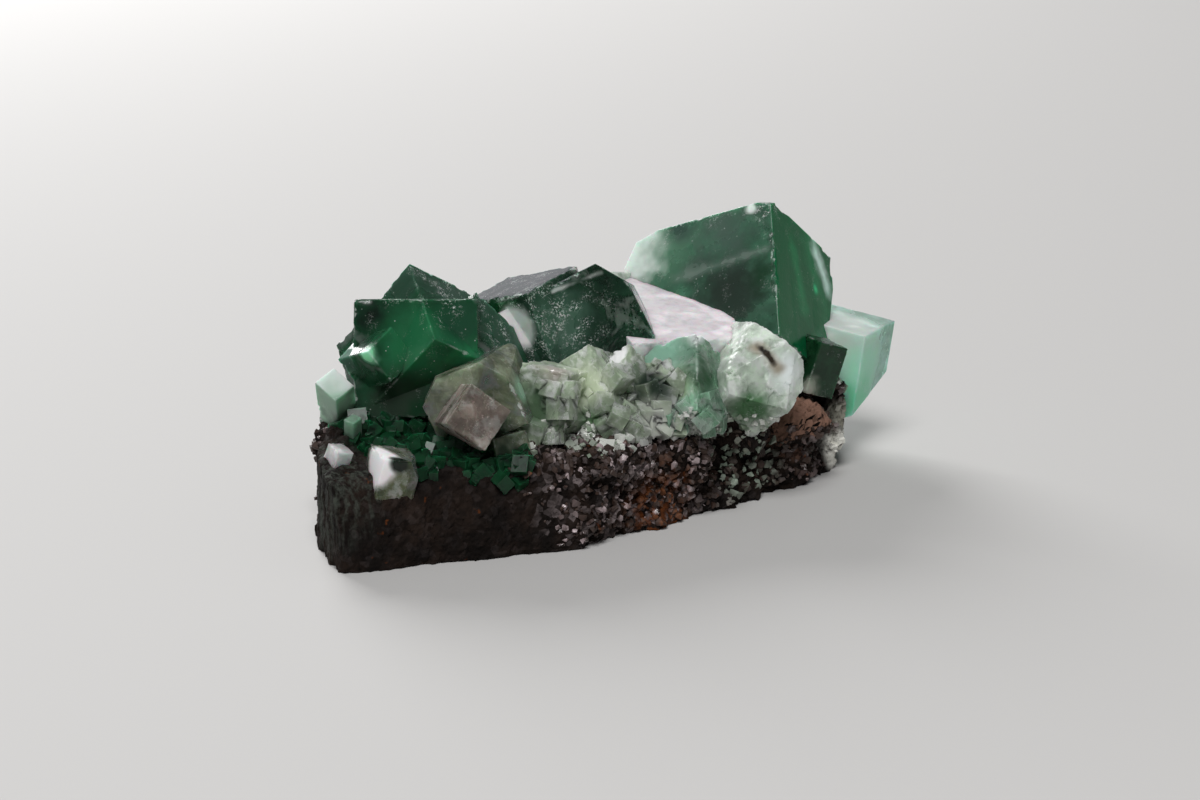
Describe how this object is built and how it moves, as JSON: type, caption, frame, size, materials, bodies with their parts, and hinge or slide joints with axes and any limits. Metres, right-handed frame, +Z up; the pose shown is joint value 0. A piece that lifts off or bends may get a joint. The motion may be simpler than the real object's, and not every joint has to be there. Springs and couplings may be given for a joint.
{
  "type": "fluorite cluster",
  "caption": "Green fluorite crystal cluster: interpenetrating cubes on a low granular rock matrix with a flat underside.",
  "frame": {"origin": "middle of the bounding box in plan, on the flat underside of the rock", "axes": "+X along the rock towards the large back cube, -Y the front that the picture shows, +Z up"},
  "size_m": [0.055, 0.0262, 0.0212],
  "materials": {
    "matrix_rock": "rough, granular, dull",
    "left_emerald_twin": "clear, glossy, dusted",
    "large_back_cube": "clear to milky, glossy, dusted",
    "right_aqua_cube": "milky, satin",
    "middle_dark_cube": "clear, dusted",
    "low_white_cube": "frosted white top, clear body",
    "left_pale_cube": "frosted",
    "broken_frosted_crystal": "frosted, broken",
    "front_green_blades": "striated, satin",
    "front_crystal_row": "pale green, satin",
    "front_clear_cube": "clear, glossy, dusted",
    "right_dark_cube": "dark green, satin",
    "pale_saddle_crystal": "pale, frosted",
    "small_white_crystal": "white, frosted",
    "back_left_twin": "clear green, glossy",
    "back_right_cube": "pale green, satin"
  },
  "bodies": {
    "root": {"matrix_rock": "matrix_rock", "left_emerald_twin": "left_emerald_twin", "large_back_cube": "large_back_cube", "right_aqua_cube": "right_aqua_cube", "middle_dark_cube": "middle_dark_cube", "low_white_cube": "low_white_cube", "left_pale_cube": "left_pale_cube", "broken_frosted_crystal": "broken_frosted_crystal", "front_green_blades": "front_green_blades", "front_crystal_row": "front_crystal_row", "front_clear_cube": "front_clear_cube", "right_dark_cube": "right_dark_cube", "pale_saddle_crystal": "pale_saddle_crystal", "small_white_crystal": "small_white_crystal", "back_left_twin": "back_left_twin", "back_right_cube": "back_right_cube"}
  },
  "joints": []
}
